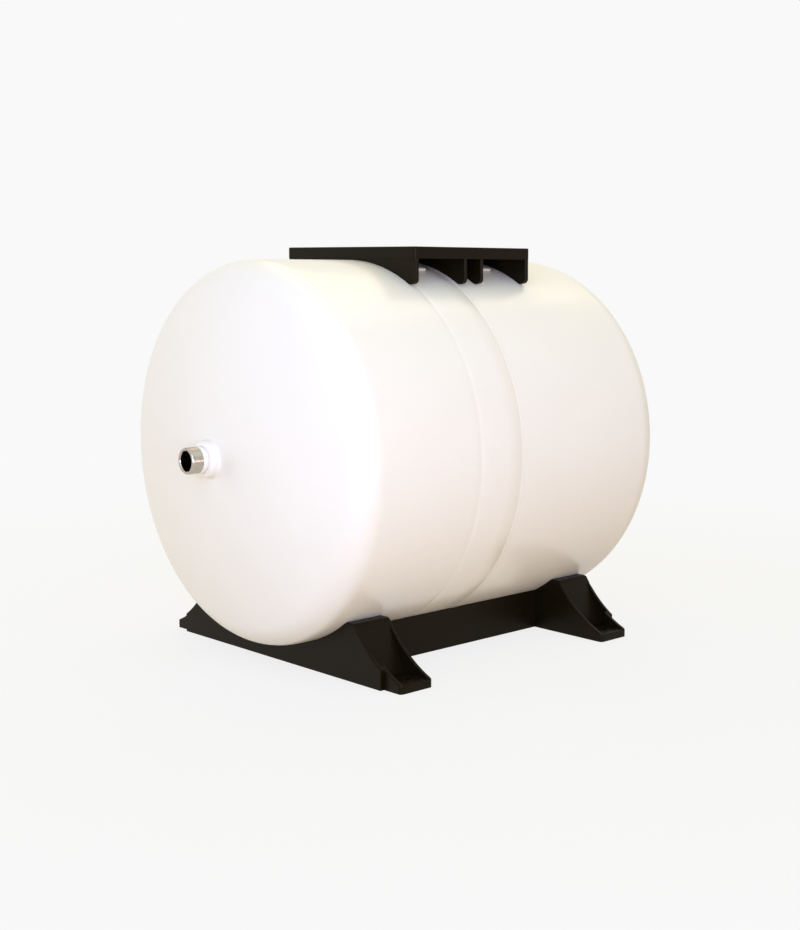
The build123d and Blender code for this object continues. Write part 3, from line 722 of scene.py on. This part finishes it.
def floorMaterial():
    material, start, place = newMaterial("paleFloor")
    away = start.node("ShaderNodeVectorMath", {"operation": "LENGTH"}, {0: place}, out=1)
    fade = away.band(surround["fadeFrom"], surround["fadeTo"])
    white = surround["white"]
    shaded = start.node("ShaderNodeBsdfDiffuse", {}, {"Color": surround["floorShade"]})
    glow = start.node("ShaderNodeEmission", {}, {"Color": rgb(1, 1, 1), "Strength": surround["floorGlow"]})
    near = start.node("ShaderNodeAddShader", {}, {0: shaded, 1: glow})
    far = start.node("ShaderNodeEmission", {}, {"Color": rgb(1, 1, 1), "Strength": white})
    seen = start.node("ShaderNodeMixShader", {}, {0: fade, 1: near, 2: far})
    along = start.node("ShaderNodeSeparateXYZ", {}, {0: place})
    farSide = along.band(-0.1, 0.6).blend(surround["floorBounce"], surround["floorFarSide"])
    bounce = start.node("ShaderNodeBsdfDiffuse", {}, {"Color": farSide})
    shader = start.node("ShaderNodeMixShader", {}, {0: seenDirectly(start), 1: bounce, 2: seen})
    start.node("ShaderNodeOutputMaterial", {}, {"Surface": shader})
    return material


bpy.ops.object.select_all(action="DESELECT")
bpy.ops.mesh.primitive_circle_add(vertices=96, radius=9.0, fill_type="NGON", location=(0, 0, 0))
floor = bpy.context.object
floor.name = "studioFloor"
floor.data.materials.append(floorMaterial())

world = bpy.data.worlds.new("studioWorld")
bpy.context.scene.world = world
world.use_nodes = True
world.node_tree.nodes.clear()
sky = Wire(world.node_tree)
lit = {"Color": surround["ambient"], "Strength": surround["ambientStrength"]}
ambient = sky.node("ShaderNodeBackground", {}, lit)
white = surround["white"]
paleSky = sky.node("ShaderNodeBackground", {}, {"Color": rgb(white, white, white), "Strength": 1.0})
whole = sky.node("ShaderNodeMixShader", {}, {0: seenDirectly(sky), 1: ambient, 2: paleSky})
sky.node("ShaderNodeOutputWorld", {}, {"Surface": whole})

# Lamps: key, side and low light what the camera sees, high and top the upper half, left and back the rest
lamps = {
    "key": {"place": (-1.65, -1.35, 1.2), "size": (1.7, 1.5), "watts": 17.1, "color": (0.5, 0.5, 1.0)},
    "high": {"place": (-0.5, -1.0, 2.0), "size": (1.5, 1.5), "watts": 4.2, "color": (0.5, 1.0, 0.5)},
    "top": {"place": (0.55, 0.4, 1.65), "size": (1.5, 1.3), "watts": 8.5, "color": (1.0, 0.84, 0.5)},
    "side": {"place": (-1.5, -1.75, 0.34), "size": (1.4, 0.9), "watts": 28.5, "color": (0.5, 0.69, 1.0)},
    "low": {"place": (-0.55, -1.75, 0.2), "size": (1.3, 0.34), "watts": 5.6, "color": (1.0, 0.61, 0.52)},
    "left": {"place": (-1.2, 1.2, 0.5), "size": (1.0, 1.0), "watts": 6.8, "color": (0.84, 0.87, 1.0)},
    "back": {"place": (1.45, 1.95, 0.45), "size": (1.0, 0.8), "watts": 25.0, "color": (0.80, 0.87, 1.0)},
}
for name, lamp in lamps.items():
    data = bpy.data.lights.new(name + "Lamp", "AREA")
    data.shape = "RECTANGLE"
    data.size, data.size_y = lamp["size"]
    data.energy = lamp["watts"]
    data.color = lamp["color"]
    holder = bpy.data.objects.new(name + "Lamp", data)
    bpy.context.scene.collection.objects.link(holder)
    holder.location = lamp["place"]
    holder.visible_glossy = name not in ("left", "back")      # these two leave no mark in the gloss
    toward = Vector((0, 0, 0.2)) - Vector(lamp["place"])
    holder.rotation_euler = toward.to_track_quat("-Z", "Y").to_euler()

# Camera at the photograph's place and angle, for a frame of 800 x 930
view = {
    "place": (-1.0637, -1.2365, 0.4033),
    "yaw": 0.79948,
    "pitch": 0.13154,
    "roll": 0.00571,
    "focal": 1487.85,
    "centre": (530.67, 465.0),
    "frame": (800, 930),
}


def placeCamera():
    data = bpy.data.cameras.new("camera")
    camera = bpy.data.objects.new("camera", data)
    bpy.context.scene.collection.objects.link(camera)
    width, height = view["frame"]
    data.sensor_fit = "AUTO"
    data.sensor_width = 36.0
    data.lens = 36.0 * view["focal"] / height
    data.shift_x = -(view["centre"][0] - width / 2) / height
    data.shift_y = (view["centre"][1] - height / 2) / height
    data.clip_start, data.clip_end = 0.05, 60.0
    yaw, pitch, roll = view["yaw"], view["pitch"], view["roll"]
    ahead = Vector((sin(yaw) * cos(pitch), cos(yaw) * cos(pitch), -sin(pitch)))
    right = Vector((cos(yaw), -sin(yaw), 0))
    up = right.cross(ahead)
    rolledRight = cos(roll) * right + sin(roll) * up
    rolledUp = -sin(roll) * right + cos(roll) * up
    turn = Matrix((rolledRight, rolledUp, -ahead)).transposed()
    camera.matrix_world = Matrix.Translation(view["place"]) @ turn.to_4x4()
    bpy.context.scene.camera = camera


placeCamera()
bpy.context.scene.view_settings.view_transform = "Standard"
print("stage, lamps and camera set")
